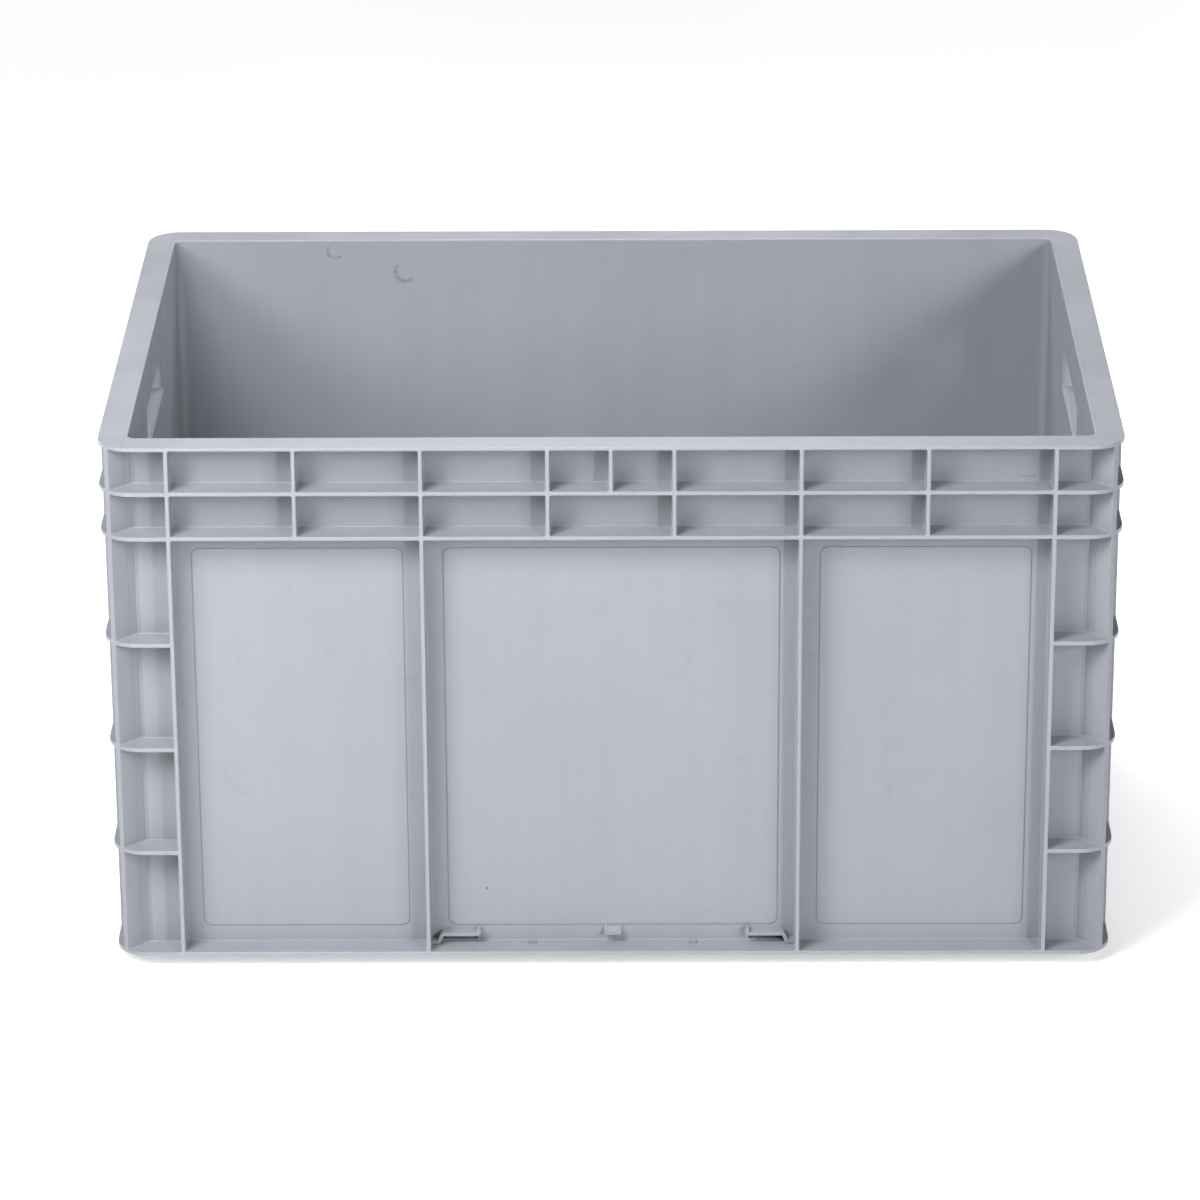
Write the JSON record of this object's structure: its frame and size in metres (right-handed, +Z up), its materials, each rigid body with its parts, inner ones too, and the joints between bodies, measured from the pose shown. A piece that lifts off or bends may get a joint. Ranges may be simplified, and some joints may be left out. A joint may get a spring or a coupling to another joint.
{
  "type": "stacking storage crate",
  "caption": "Open rectangular stacking crate with rib-stiffened walls, a hand-hole in each end, a label holder on the front and a stacking foot underneath.",
  "frame": {"origin": "middle of the crate's footprint, at the underside of the stacking foot", "axes": "+X along the crate's length, +Y from the label side to the rear, +Z up"},
  "size_m": [0.6, 0.4, 0.335],
  "materials": {
    "grey_polypropylene": "satin as-moulded surface"
  },
  "bodies": {
    "root": {"crate_body": "grey_polypropylene"}
  },
  "joints": []
}
